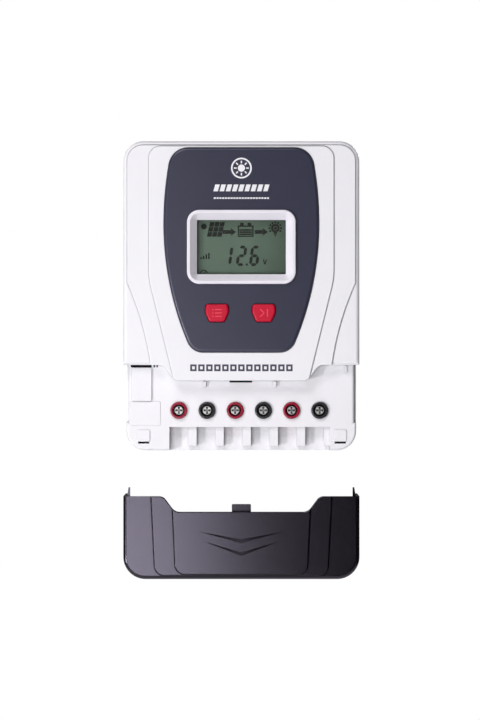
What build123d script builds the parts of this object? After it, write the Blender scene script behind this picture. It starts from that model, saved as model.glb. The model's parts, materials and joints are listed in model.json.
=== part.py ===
from build123d import *
import os
from math import sqrt

# Wall-mounted solar charge controller with its terminal cover lifted off.
#
# Frame: the origin is the centre of the unit's back face, on the wall.
# +X is to the right seen from the front, +Z is up and -Y points out of the wall.
# "Depth" below always means the distance in front of the wall, so depth = -Y.
# All lengths are in millimetres.

# ---------------------------------------------------------------- driving sizes
# Front case and the base behind it
CASE_HALF = 59.125           # half of the overall width
CASE_TOP = 77.5
CASE_CORNER = 10.0
CASE_WALL = 1.3
CASE_BACK = 5.0              # depth of the case's rear edge
SIDE_EDGE = -34.6            # lower edge of the case at the two sides
MIDDLE_EDGE = -42.4          # lower edge of the case in the middle
EDGE_CURVE_OUTER = 38.9      # the lower edge steps down between these two half widths
EDGE_CURVE_INNER = 33.1
EDGE_CURVE_RADIUS = 4.5
BASE_HALF = 57.7
BASE_TOP = 76.05
BASE_BOTTOM = -77.5
BASE_TOP_CORNER = 8.6
BASE_BOTTOM_CORNER = 9.8
BASE_WALL = 2.0
BACK_WALL = 2.5
BASE_RIM = 32.9              # depth of the base walls' front edge
SIDE_STEP = 29.5             # depth of the step along the front corners of the sides

# Front face: three flat terraces, one step apart, and the dark panel let into them
TERRACE_STEP = 0.7
OUTER_TERRACE = 40.6
MIDDLE_TERRACE = OUTER_TERRACE + TERRACE_STEP
INNER_TERRACE = MIDDLE_TERRACE + TERRACE_STEP
FRONT_INSIDE = 38.8          # depth of the front wall's inner face
FRONT_ROUND = 2.0
TERRACE_ROUND = 0.45
GROOVE = 0.35                 # width and depth of the groove at a terrace's foot
BAND = 2.0                   # rounded band between the outline and the terraces
INNER_TERRACE_HALF = 46.3
PANEL_SEAT = 41.0
PANEL_FRONT = 43.0
PANEL_TOP = 74.2
PANEL_BOTTOM = -28.35
PANEL_HALF = 38.9            # widest half width, at PANEL_WAIST
PANEL_WAIST = 36.0
PANEL_UPPER_RADIUS = 178.0
PANEL_LOWER_RADIUS = 152.2
PANEL_CORNER = 8.4
PANEL_TOP_CORNER = 10.0
PANEL_ROUND = 1.4
PANEL_GAP = 0.15

# Display
LCD_Z = 24.4
BEZEL_SIZE = (54.4, 37.0)
BEZEL_CORNER = 6.2
BEZEL_BODY = (50.6, 32.9)
BEZEL_MOUTH = (51.4, 33.7)
BEZEL_FRONT = 44.6
BEZEL_THROAT = 41.2
WINDOW_VIEW = (44.5, 27.2)
WINDOW_CORNER = 0.5
LCD_OPENING = (51.0, 33.3)
DISPLAY_BOARD = 30.9         # depth of the display board's back
BOARD_THICKNESS = 1.6
DISPLAY_FRONT = DISPLAY_BOARD + BOARD_THICKNESS

# Buttons
BUTTON_SPACING = 23.4
BUTTON_MIDDLE_X = -0.5
BUTTON_Z = -8.6
BUTTON_FRONT = 44.1
BUTTON_GAP = 0.3
BUTTON_FLANGE = 0.9
BUTTON_BACK = 37.6
PLUNGER_RADIUS = 1.7

# Terminals
TERMINALS = 6
TERMINAL_PITCH = 14.15
TERMINAL_CENTRE_X = 3.975
TERMINAL_Z = -57.4
WIRE_HOLE = (8.8, 9.6)         # width and depth of a wire hole in the tray's lower wall
WIRE_HOLE_MIDDLE = 19.4        # its depth from the wall
DECK_BACK = 33.0
DECK_FRONT = 35.0
DECK_TOP = -31.0
DECK_STEP_Z = -65.75         # below this line the face drops back to the wire strip
STRIP_END = -75.2              # lower end of the fins on the wire strip
STRIP_LEFT = -36.2
STRIP_RIGHT = 44.5
STRIP_BACK = 27.1
STRIP_FLOOR = 28.8
STRIP_SLOT_PITCH = 13.65
STRIP_SLOT_WIDTH = 9.6
COLLAR_RADIUS = 4.2
COLLAR_BORE = 2.95
COLLAR_FRONT = 36.5
HOUSING_HALF = 6.3
HOUSING_BACK = 11.5
HOUSING_LOW = -65.3
HOUSING_HIGH = -49.5
SHOULDER_BACK = 30.9
SHOULDER_FRONT = 32.0
CAGE_BACK = 14.2
CAGE_HEIGHT = 12.9
CAGE_PLATE = 1.8
CAGE_FLOOR = 1.4
CAGE_HALF = 4.9
CAGE_WALL = 1.0
CAGE_LENGTH = 8.0
SCREW_RADIUS = 2.0           # M4
SCREW_HEAD_RADIUS = 2.65
SCREW_END = 24.4
SCREW_HEAD_BACK = 32.3
SCREW_HEAD_FRONT = 34.3
TONGUE_BACK = 22.6
TONGUE_FRONT = 24.0
TONGUE_HALF = 2.9

# Terminal cover: it is drawn in its fitted place, then lowered by COVER_DROP
COVER_DROP = 65.4
COVER_HALF = 59.17
COVER_BOTTOM = -76.5
COVER_CORNER = 11.2
COVER_GAP = 0.35
COVER_WALL = 1.1
COVER_INSIDE = 38.4
COVER_SKIRT = 35.6           # depth of the skirt's rear edge
COVER_SIDE_BACK = 6.0
COVER_SIDE_LOW = -63.3
TAB_HALF = 4.8
TAB_HEIGHT = 3.8
TAB_BACK = 36.8              # the tab passes in front of the terminal collars
TAB_FRONT = 38.1
PRONG_HEIGHT = 4.4
PRONG_INNER = 55.8            # upright inner side of a prong

# Boards, heat sink and fasteners
MAIN_BOARD = 18.4
MAIN_FRONT = MAIN_BOARD + BOARD_THICKNESS
MAIN_HALF = 46.5
MAIN_LOW = -49.0
MAIN_HIGH = 70.0
SINK_FACE = 11.0
SINK_PLATE = 3.0
SINK_Z = 13.0
SINK_SIZE = (92.0, 78.0)
FIN_FIELD = (74.0, 72.0)
FIN_BACK = 0.6
FINS = 13
FIN_THICKNESS = 1.8
MOSFETS = 6
MOSFET_PITCH = 12.0
MOSFET_Z = 30.0
CASE_SCREW_SPOTS = [(-51.0, 67.5), (51.0, 67.5), (-51.0, -26.0), (51.0, -26.0)]
DECK_SCREW_SPOTS = [(-51.0, -58.0), (51.0, -58.0)]
BOARD_SCREW_SPOTS = [(-42.0, -41.5), (42.0, -41.5), (-42.0, 62.0), (42.0, 62.0)]
SINK_SCREW_SPOTS = [(-43.0, -20.0), (43.0, -20.0), (-43.0, 46.0), (43.0, 46.0)]
DISPLAY_SCREW_SPOTS = [(-30.5, -13.5), (30.5, -13.5), (-30.5, 43.0), (30.5, 43.0)]
BAR_SCREW_SPOTS = [(-38.0, MOSFET_Z), (38.0, MOSFET_Z)]
KEYHOLE_SPOTS = [(-32.0, -65.0), (32.0, -65.0), (-32.0, 65.0), (32.0, 65.0)]
KEYHOLE_RADIUS = 4.4
KEYHOLE_SLOT = 4.6
KEYHOLE_RISE = 6.5
COLUMN_FRONT = 12.0          # the base's screw columns meet the bosses of case and deck here


# ---------------------------------------------------------------- small helpers
def slab(profile, near, far):
    """Solid of a front-view profile from depth near to depth far."""
    return extrude(Plane.XZ.offset(near) * profile, far - near)


def block(left, right, low, high, near, far):
    """Box given by its sides, its ends in height and its two depths."""
    middle = Pos((left + right) / 2, (low + high) / 2)
    return slab(middle * Rectangle(right - left, high - low), near, far)


def rod(spot, radius, near, far):
    """Round bar standing out of the wall at an (x, z) spot."""
    return slab(Pos(*spot) * Circle(radius), near, far)


def rods(spots, radius, near, far):
    """The same round bar at several spots."""
    return Part() + [rod(spot, radius, near, far) for spot in spots]


def rounded(size, radius, z=0.0):
    """Rounded rectangle on the centre line at height z."""
    return Pos(0, z) * RectangleRounded(size[0], size[1], radius)


def mirrored(right_points):
    """Closed symmetric polygon from its right-hand points, listed from top to bottom."""
    left_points = [(-x, z) for x, z in reversed(right_points)]
    return make_face(Polyline(right_points + left_points, close=True))


def edges_at(solid, depth):
    """Edges that lie at one depth."""
    return solid.edges().filter_by_position(Axis.Y, -depth - 0.01, -depth + 0.01)


def corners_between(profile, low, high):
    """Corner points of a profile whose height is between low and high."""
    return profile.vertices().filter_by_position(Axis.Y, low, high)


def round_corners(profile, low, high, radius):
    """Round the corners of a profile that lie between two heights."""
    return fillet(corners_between(profile, low, high), radius)


def terminal_x(number):
    """Centre line of a terminal, numbered from 0 at the left."""
    return TERMINAL_CENTRE_X + (number - (TERMINALS - 1) / 2) * TERMINAL_PITCH


def strip_slot_x(number):
    """Left side of a slot in the strip below the terminals, numbered from 0 at the left."""
    return STRIP_LEFT + number * STRIP_SLOT_PITCH


def button_x(side):
    """Centre line of the left (-1) or right (1) button."""
    return BUTTON_MIDDLE_X + side * BUTTON_SPACING / 2


# ---------------------------------------------------------------- outlines
def upright_outline(half, top, bottom, top_corner, bottom_corner):
    """Upright rectangle with its own corner radii at the top and at the bottom."""
    profile = mirrored([(half, top), (half, bottom)])
    profile = round_corners(profile, top - 0.1, top + 0.1, top_corner)
    return round_corners(profile, bottom - 0.1, bottom + 0.1, bottom_corner)


def case_outline(inset=0.0):
    """Case from the front: round top corners and a lower edge that steps down in the middle."""
    profile = mirrored([
        (CASE_HALF - inset, CASE_TOP - inset),
        (CASE_HALF - inset, SIDE_EDGE),
        (EDGE_CURVE_OUTER, SIDE_EDGE),
        (EDGE_CURVE_INNER, MIDDLE_EDGE),
    ])
    profile = round_corners(profile, CASE_TOP - inset - 0.1, CASE_TOP, CASE_CORNER - inset)
    inner_corners = corners_between(profile, MIDDLE_EDGE - 0.1, MIDDLE_EDGE + 0.1)
    profile = fillet(inner_corners, EDGE_CURVE_RADIUS)
    outer_corners = corners_between(profile, SIDE_EDGE - 0.1, SIDE_EDGE + 0.1)
    curve_corners = outer_corners.filter_by(lambda point: abs(point.X) < EDGE_CURVE_OUTER + 1)
    return fillet(curve_corners, EDGE_CURVE_RADIUS)


def middle_terrace_outline():
    """Second terrace: full width above, drawn in by a curve on each side below."""
    half = CASE_HALF - BAND
    top = CASE_TOP - BAND
    right_side = Line((half, top), (half, 6.5))
    right_curve = ThreePointArc((half, 6.5), (50.3, -12.0), (45.4, SIDE_EDGE))
    right_end = Line((45.4, SIDE_EDGE), (44.9, MIDDLE_EDGE))
    left_end = Line((-44.9, MIDDLE_EDGE), (-45.4, SIDE_EDGE))
    left_curve = ThreePointArc((-45.4, SIDE_EDGE), (-50.3, -12.0), (-half, 6.5))
    left_side = Line((-half, 6.5), (-half, top))
    top_edge = Line((-half, top), (half, top))
    bottom_edge = Line((44.9, MIDDLE_EDGE), (-44.9, MIDDLE_EDGE))
    edges = [right_side, right_curve, right_end, bottom_edge]
    edges += [left_end, left_curve, left_side, top_edge]
    profile = make_face(Curve() + edges)
    return round_corners(profile, top - 0.1, top + 0.1, CASE_CORNER - BAND)


def inner_terrace_outline():
    """Highest terrace: straight sides that lean in below the middle of the case."""
    top = CASE_TOP - BAND - 0.6
    profile = mirrored([
        (INNER_TERRACE_HALF, top),
        (INNER_TERRACE_HALF, 8.6),
        (35.6, SIDE_EDGE),
        (33.7, MIDDLE_EDGE),
    ])
    profile = round_corners(profile, top - 0.1, top + 0.1, 6.0)
    return round_corners(profile, 8.5, 8.7, 40.0)


def panel_outline():
    """Shield-shaped panel: each side is two large arcs that meet at the waist."""
    top_rise = PANEL_TOP - PANEL_WAIST
    low_drop = PANEL_WAIST - PANEL_BOTTOM
    top_half = PANEL_HALF - PANEL_UPPER_RADIUS + sqrt(PANEL_UPPER_RADIUS**2 - top_rise**2)
    low_half = PANEL_HALF - PANEL_LOWER_RADIUS + sqrt(PANEL_LOWER_RADIUS**2 - low_drop**2)
    waist = (PANEL_HALF, PANEL_WAIST)
    left_waist = (-PANEL_HALF, PANEL_WAIST)
    edges = [
        Line((-top_half, PANEL_TOP), (top_half, PANEL_TOP)),
        TangentArc(waist, (top_half, PANEL_TOP), tangent=(0, 1)),
        TangentArc(waist, (low_half, PANEL_BOTTOM), tangent=(0, -1)),
        Line((low_half, PANEL_BOTTOM), (-low_half, PANEL_BOTTOM)),
        TangentArc(left_waist, (-low_half, PANEL_BOTTOM), tangent=(0, -1)),
        TangentArc(left_waist, (-top_half, PANEL_TOP), tangent=(0, 1)),
    ]
    profile = make_face(Curve() + edges)
    profile = round_corners(profile, PANEL_TOP - 0.1, PANEL_TOP + 0.1, PANEL_TOP_CORNER)
    return round_corners(profile, PANEL_BOTTOM - 0.1, PANEL_BOTTOM + 0.1, PANEL_CORNER)


def button_outline(x):
    """Button cap: widest above mid height and narrowest at its lower edge."""
    profile = mirrored([(5.35, 4.45), (6.15, 0.9), (3.85, -4.45)])
    profile = round_corners(profile, 0.8, 1.0, 5.0)
    profile = round_corners(profile, 4.4, 4.5, 1.3)
    profile = round_corners(profile, -4.5, -4.4, 1.3)
    return Pos(x, BUTTON_Z) * profile


def keyhole_outline(spot):
    """Round entry for a screw head with a narrower slot above it."""
    x, z = spot
    entry = Pos(x, z) * Circle(KEYHOLE_RADIUS)
    slot = Pos(x, z + KEYHOLE_RISE / 2) * Rectangle(KEYHOLE_SLOT, KEYHOLE_RISE)
    end = Pos(x, z + KEYHOLE_RISE) * Circle(KEYHOLE_SLOT / 2)
    return entry + slot + end


# ---------------------------------------------------------------- housing parts
def make_base_tray():
    """White tray: back wall, side walls, screw columns, board posts and keyholes."""
    outline = upright_outline(
        BASE_HALF, BASE_TOP, BASE_BOTTOM, BASE_TOP_CORNER, BASE_BOTTOM_CORNER)
    cavity = upright_outline(
        BASE_HALF - BASE_WALL, BASE_TOP - BASE_WALL, BASE_BOTTOM + BASE_WALL,
        BASE_TOP_CORNER - BASE_WALL, BASE_BOTTOM_CORNER - BASE_WALL)
    shell = slab(outline, 0, BASE_RIM)
    shell = fillet(edges_at(shell, 0), 1.0)
    tray = shell - slab(cavity, BACK_WALL, BASE_RIM)

    # Columns for the screws that come in from the back
    column_spots = CASE_SCREW_SPOTS + DECK_SCREW_SPOTS
    tray += rods(column_spots, 4.2, BACK_WALL - 0.5, COLUMN_FRONT)
    tray -= rods(column_spots, 3.3, -1, 7.0)
    tray -= rods(column_spots, 1.7, 6, COLUMN_FRONT + 1)

    # Posts for the main board and the heat sink
    tray += rods(BOARD_SCREW_SPOTS, 3.0, BACK_WALL - 0.5, MAIN_BOARD - 0.05)
    tray -= rods(BOARD_SCREW_SPOTS, 1.3, 6, MAIN_BOARD)
    tray += rods(SINK_SCREW_SPOTS, 2.8, BACK_WALL - 0.5, SINK_FACE - SINK_PLATE - 0.05)
    tray -= rods(SINK_SCREW_SPOTS, 1.45, 3, SINK_FACE)

    # Two ribs that carry the terminal housings, the lower one short of the keyholes
    for rib_z, left, right in ((-53.0, -38.5, 46.5), (-61.0, -24.0, 24.0)):
        tray += block(left, right, rib_z - 0.8, rib_z + 0.8, BACK_WALL - 0.5, HOUSING_BACK - 0.1)

    # Window for the fins, and the four keyholes
    window = rounded((FIN_FIELD[0] + 1.6, FIN_FIELD[1] + 1.6), 2.0, SINK_Z)
    tray -= slab(window, -1, BACK_WALL + 1)
    for spot in KEYHOLE_SPOTS:
        tray -= slab(keyhole_outline(spot), -1, BACK_WALL + 1)

    # Steps along the front corners of the sides, behind the narrower part of the deck
    for side in (-1, 1):
        edges = sorted((side * (BASE_HALF - 1.05), side * (BASE_HALF + 1)))
        tray -= block(edges[0], edges[1], -63.5, SIDE_EDGE + 0.1, SIDE_STEP, BASE_RIM + 1)

    # The lower wall stays behind the wire strip, and has a hole for each wire
    tray -= block(STRIP_LEFT - 0.1, STRIP_RIGHT + 0.1, BASE_BOTTOM - 1, -75.1, 27, BASE_RIM + 1)
    for number in range(TERMINALS):
        hole = Pos(terminal_x(number), -WIRE_HOLE_MIDDLE) * RectangleRounded(*WIRE_HOLE, 2.5)
        tray -= extrude(Plane.XY.offset(BASE_BOTTOM - 1) * hole, 4)
    return tray


def make_front_case():
    """White front shell with terraces, panel seat, display and button openings."""
    outline = case_outline()
    body = slab(outline, CASE_BACK, OUTER_TERRACE)
    body = fillet(edges_at(body, OUTER_TERRACE), FRONT_ROUND)
    middle = slab(middle_terrace_outline() & outline, FRONT_INSIDE, MIDDLE_TERRACE)
    middle = fillet(edges_at(middle, MIDDLE_TERRACE), TERRACE_ROUND)
    inner = slab(inner_terrace_outline() & outline, FRONT_INSIDE, INNER_TERRACE)
    inner = fillet(edges_at(inner, INNER_TERRACE), TERRACE_ROUND)
    body -= foot_groove(middle_terrace_outline(), OUTER_TERRACE)
    case = body + middle - foot_groove(inner_terrace_outline(), MIDDLE_TERRACE) + inner

    # Inside: one cavity for the boards, open downwards behind the deck
    cavity = upright_outline(
        CASE_HALF - CASE_WALL, CASE_TOP - CASE_WALL, SIDE_EDGE - 20,
        CASE_CORNER - CASE_WALL, 1.0)
    case -= slab(cavity, CASE_BACK - 1, DECK_FRONT + 0.15)
    lower_lip = offset(outline, amount=-1.6)
    case -= slab(lower_lip & cavity, CASE_BACK, FRONT_INSIDE)

    # Bosses
    case += rods(CASE_SCREW_SPOTS, 3.6, COLUMN_FRONT + 0.1, FRONT_INSIDE + 0.3)
    case -= rods(CASE_SCREW_SPOTS, 1.55, COLUMN_FRONT, 26)
    case += rods(DISPLAY_SCREW_SPOTS, 2.6, DISPLAY_FRONT + 0.05, FRONT_INSIDE + 0.3)
    case -= rods(DISPLAY_SCREW_SPOTS, 1.05, DISPLAY_FRONT, 38)

    # Seat and openings
    seat = offset(panel_outline(), amount=PANEL_GAP)
    case -= slab(seat, PANEL_SEAT, INNER_TERRACE + 1)
    case -= slab(rounded(LCD_OPENING, 4.4, LCD_Z), FRONT_INSIDE - 1, INNER_TERRACE)
    for side in (-1, 1):
        hole = offset(button_outline(button_x(side)), amount=BUTTON_GAP)
        case -= slab(hole, FRONT_INSIDE - 1, INNER_TERRACE)

    # Slots in the lower lip for the tab and the prongs of the terminal cover
    case -= block(-TAB_HALF - 1, TAB_HALF + 1, MIDDLE_EDGE - 1, MIDDLE_EDGE + 3, 35, TAB_FRONT + 0.35)
    for side in (-1, 1):
        edges = sorted((side * (PRONG_INNER - 0.45), side * 57.75))
        case -= block(edges[0], edges[1], SIDE_EDGE - 1, SIDE_EDGE + 3, 35, 38.5)
    return case


def make_front_panel():
    """Dark shield-shaped panel, a little proud of the case."""
    panel = slab(panel_outline(), PANEL_SEAT + 0.05, PANEL_FRONT)
    panel = fillet(edges_at(panel, PANEL_FRONT), PANEL_ROUND)
    panel -= slab(rounded(LCD_OPENING, 4.4, LCD_Z), PANEL_SEAT - 1, PANEL_FRONT + 1)
    for side in (-1, 1):
        hole = offset(button_outline(button_x(side)), amount=BUTTON_GAP)
        panel -= slab(hole, PANEL_SEAT - 1, PANEL_FRONT + 1)
    return panel


def deck_outline():
    """Terminal deck from the front, narrowed above the steps of the tray's sides."""
    outline = upright_outline(BASE_HALF, DECK_TOP, BASE_BOTTOM, 0.5, BASE_BOTTOM_CORNER)
    for side in (-1, 1):
        recess = Pos(side * BASE_HALF, (DECK_TOP - 63.5) / 2) * Rectangle(2.1, 63.5 + DECK_TOP)
        outline -= recess
    return outline


def make_wire_strip():
    """Lower floor under the terminals, with a fin between each two wires."""
    top = DECK_STEP_Z - 0.15
    strip = block(STRIP_LEFT, STRIP_RIGHT, BASE_BOTTOM + 0.1, top, STRIP_BACK, STRIP_FLOOR)
    for number in range(1, TERMINALS + 1):
        right = strip_slot_x(number)
        left = right - STRIP_SLOT_PITCH + STRIP_SLOT_WIDTH
        right = min(right, STRIP_RIGHT)
        strip += block(left, right, STRIP_END, top, STRIP_FLOOR - 0.2, DECK_BACK + 0.4)
        strip += block(left, right, top - 0.1, DECK_STEP_Z + 0.5, DECK_BACK, DECK_BACK + 0.4)
    for edge in (STRIP_LEFT - 1.5, STRIP_RIGHT):
        strip += block(edge, edge + 1.5, STRIP_END, top, STRIP_BACK, DECK_BACK + 0.5)
    return strip


def make_terminal_deck():
    """White deck over the terminals, with the wire strip along its lower edge."""
    deck = slab(deck_outline(), DECK_BACK, DECK_FRONT)
    deck = fillet(edges_at(deck, DECK_FRONT), 1.2)
    deck -= block(STRIP_LEFT, STRIP_RIGHT, BASE_BOTTOM - 1, DECK_STEP_Z, DECK_BACK - 1, DECK_FRONT + 1)
    deck += make_wire_strip()

    # Raised pads: the long one at the left, the corner squares and the small ramps
    deck += raised_pad(-54.9, -45.1, -52.7, -36.0, 1.1)
    deck += raised_pad(-56.0, -40.7, -64.9, -52.9, 0.3)
    for left in (-52.2, 46.55):
        deck += raised_pad(left, left + 6.2, -73.0, -67.2, 0.5)
        deck -= block(left + 0.3, left + 5.9, -74.1, -73.1, 31, DECK_FRONT + 1)
    deck += block(51.9, 52.9, -38.2, SIDE_EDGE - 0.3, DECK_FRONT - 0.1, DECK_FRONT + 0.7)
    for ramp_x in (-19.4, 15.9):
        deck += ramp(ramp_x)

    # Collar holes, bosses, and the slots under the lower edge of the case
    for number in range(TERMINALS):
        deck -= rod((terminal_x(number), TERMINAL_Z), COLLAR_RADIUS + 0.12, DECK_BACK - 1, DECK_FRONT + 1)
    deck += rods(DECK_SCREW_SPOTS, 3.4, COLUMN_FRONT + 0.1, DECK_BACK + 0.3)
    deck -= rods(DECK_SCREW_SPOTS, 1.55, COLUMN_FRONT, 26)
    deck -= block(-6.0, 5.4, MIDDLE_EDGE - 1.0, MIDDLE_EDGE + 1.5, DECK_BACK - 1, DECK_FRONT + 1)
    deck -= block(-55.6, -45.1, SIDE_EDGE - 1.2, SIDE_EDGE + 1.5, DECK_BACK - 1, DECK_FRONT + 1)
    for small_x in (-43.8, -42.3):
        deck -= block(small_x - 0.4, small_x + 0.4, SIDE_EDGE - 1.2, SIDE_EDGE + 0.5, 32, DECK_FRONT + 1)
    return deck


def foot_groove(outline, face):
    """Fine groove round the foot of a terrace, cut into the face that it stands on."""
    ring = offset(outline, amount=GROOVE) - outline
    return slab(ring, face - GROOVE, face + 1)


def raised_pad(left, right, low, high, height):
    """Low pad with rounded upright corners and a softened front edge."""
    pad = block(left, right, low, high, DECK_FRONT - 0.5, DECK_FRONT + height)
    pad = fillet(pad.edges().filter_by(Axis.Y), 0.6)
    return fillet(edges_at(pad, DECK_FRONT + height), 0.2)


def ramp(left):
    """Small wedge that stands out most just below the case and falls away downwards."""
    side = Polyline((-DECK_FRONT + 0.5, -45.6), (-DECK_FRONT - 1.2, -45.6),
                    (-DECK_FRONT - 2.3, -42.9), (-DECK_FRONT + 0.5, -42.9), close=True)
    return extrude(Plane.YZ.offset(left) * make_face(side), 1.6)


# ---------------------------------------------------------------- display parts
def make_lcd_bezel():
    """Raised frame whose inner faces slope down to the window."""
    flange = slab(rounded(BEZEL_SIZE, BEZEL_CORNER, LCD_Z), PANEL_FRONT, BEZEL_FRONT)
    flange = fillet(edges_at(flange, BEZEL_FRONT), 0.6)
    body = slab(rounded(BEZEL_BODY, 4.2, LCD_Z), 39.3, PANEL_FRONT + 0.2)
    mouth = Plane.XZ.offset(BEZEL_FRONT) * rounded(BEZEL_MOUTH, 4.6, LCD_Z)
    throat = Plane.XZ.offset(BEZEL_THROAT) * rounded(WINDOW_VIEW, WINDOW_CORNER, LCD_Z)
    funnel = loft([throat.face(), mouth.face()])
    straight = slab(rounded(WINDOW_VIEW, WINDOW_CORNER, LCD_Z), 39, BEZEL_THROAT)
    return flange + body - funnel - straight


def make_display():
    """Window, liquid crystal cell, backlight, contact pins and the board they sit on."""
    window = slab(rounded((48.6, 31.0), 1.5, LCD_Z), 38.0, 39.2)
    glass = slab(rounded((48.0, 30.6), 0.4, LCD_Z), 35.1, 37.9)
    backlight = slab(rounded((48.0, 30.6), 0.6, LCD_Z), DISPLAY_FRONT + 0.02, 35.05)
    pins = Part()
    for number in range(13):
        pin_x = (number - 6) * 3.3
        pins += block(pin_x - 0.3, pin_x + 0.3, 40.2, 40.8, DISPLAY_FRONT + 0.02, 37.6)
    board = slab(rounded((68.0, 63.0), 1.5, 14.5), DISPLAY_BOARD, DISPLAY_FRONT)
    board -= rods(DISPLAY_SCREW_SPOTS, 1.2, DISPLAY_BOARD - 1, DISPLAY_FRONT + 1)
    return window, glass, backlight, pins, board


def make_switches():
    """Square key switches on the display board, each with a round well for its plunger."""
    switches = Part()
    for side in (-1, 1):
        x = button_x(side)
        switch = block(x - 3, x + 3, BUTTON_Z - 3, BUTTON_Z + 3, DISPLAY_FRONT + 0.02, 35.9)
        switches += switch - rod((x, BUTTON_Z), PLUNGER_RADIUS + 0.1, 33.5, 37)
    return switches


def make_button(side):
    """Red cap with a flange behind the case wall and a stem that meets the switch."""
    x = button_x(side)
    outline = button_outline(x)
    cap = slab(outline, BUTTON_BACK, BUTTON_FRONT)
    cap = fillet(edges_at(cap, BUTTON_FRONT), 1.0)
    flange = slab(offset(outline, amount=BUTTON_FLANGE), BUTTON_BACK, BUTTON_BACK + 0.9)
    stem = rod((x, BUTTON_Z), 1.6, 36.9, BUTTON_BACK + 0.5)
    return cap + flange + stem


def make_plunger(side):
    """Round plunger of a key switch, under the button's stem."""
    return rod((button_x(side), BUTTON_Z), PLUNGER_RADIUS, 34.5, 36.9)


# ---------------------------------------------------------------- terminals
def make_terminal_housing(x):
    """Insulating block with a wire chamber open downwards and a collar through the deck."""
    housing = block(x - HOUSING_HALF, x + HOUSING_HALF, HOUSING_LOW, HOUSING_HIGH, HOUSING_BACK, 32.9)
    collar = rod((x, TERMINAL_Z), COLLAR_RADIUS, 32.5, COLLAR_FRONT)
    housing += fillet(edges_at(collar, COLLAR_FRONT), 0.5)
    housing -= block(x - 5.2, x + 5.2, HOUSING_LOW - 1, -52.0, 13.5, SHOULDER_BACK)
    housing -= rod((x, TERMINAL_Z), SCREW_RADIUS + 0.3, SHOULDER_BACK - 1, SHOULDER_FRONT + 1)
    housing -= rod((x, TERMINAL_Z), COLLAR_BORE, SHOULDER_FRONT, COLLAR_FRONT + 1)
    mouth = edges_at(housing, COLLAR_FRONT).filter_by(lambda edge: edge.radius < COLLAR_BORE + 0.1)
    housing = chamfer(mouth, 0.55)
    left = x - TONGUE_HALF - 0.3
    right = x + TONGUE_HALF + 0.3
    housing -= block(left, right, -53, HOUSING_HIGH + 1, TONGUE_BACK - 0.3, TONGUE_FRONT + 0.3)
    return housing


def make_clamp_cage(x):
    """Square steel ring that the screw draws forward to clamp the wire under the tongue."""
    low = TERMINAL_Z - CAGE_LENGTH / 2
    high = TERMINAL_Z + CAGE_LENGTH / 2
    front = CAGE_BACK + CAGE_HEIGHT
    cage = block(x - CAGE_HALF, x + CAGE_HALF, low, high, CAGE_BACK, front)
    inner = CAGE_HALF - CAGE_WALL
    cage -= block(x - inner, x + inner, low - 1, high + 1, CAGE_BACK + CAGE_FLOOR, front - CAGE_PLATE)
    return cage - rod((x, TERMINAL_Z), SCREW_RADIUS + 0.3, front - 3, front + 1)


def make_clamp_screw(x):
    """Captive clamp screw with a cross recess, its thread drawn as a plain cylinder."""
    spot = (x, TERMINAL_Z)
    head = rod(spot, SCREW_HEAD_RADIUS, SCREW_HEAD_BACK, SCREW_HEAD_FRONT)
    head = fillet(edges_at(head, SCREW_HEAD_FRONT), 0.7)
    cross = Pos(x, TERMINAL_Z) * (Rectangle(3.5, 1.0) + Rectangle(1.0, 3.5))
    head -= slab(cross, SCREW_HEAD_FRONT - 1.1, SCREW_HEAD_FRONT + 1)
    shank = rod(spot, SCREW_RADIUS, SCREW_END, SCREW_HEAD_BACK + 0.2)
    return head + chamfer(edges_at(shank, SCREW_END), 0.4)


def make_current_bars():
    """Copper tongues that run from the main board into each terminal's cage."""
    bars = Part()
    for number in range(TERMINALS):
        x = terminal_x(number)
        bar = block(x - TONGUE_HALF, x + TONGUE_HALF, -60.6, -46.4, TONGUE_BACK, TONGUE_FRONT)
        bar += block(x - TONGUE_HALF, x + TONGUE_HALF, -47.8, -46.4, MAIN_FRONT + 0.02, TONGUE_FRONT)
        bars += bar
    return bars


# ---------------------------------------------------------------- terminal cover
def cover_outline():
    """Cover from the front: it meets the stepped lower edge of the case all along."""
    whole = upright_outline(COVER_HALF, 0, COVER_BOTTOM, 1.0, COVER_CORNER)
    return whole - offset(case_outline() + Pos(0, 30) * Rectangle(4 * CASE_HALF, 120), amount=COVER_GAP)


def cover_terrace(top_half, low_half, low):
    """Terrace of the cover that carries on from the case and ends in round corners."""
    profile = mirrored([(top_half, SIDE_EDGE), (low_half, low)])
    return round_corners(profile, low - 0.1, low + 0.1, 5.0)


def chevron(half, end_z, tip_top, tip_bottom):
    """V-shaped mark, thickest at the middle and pointed at both ends."""
    points = [(-half, end_z), (0, tip_top), (half, end_z), (0, tip_bottom)]
    return make_face(Polyline(points, close=True))


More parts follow.
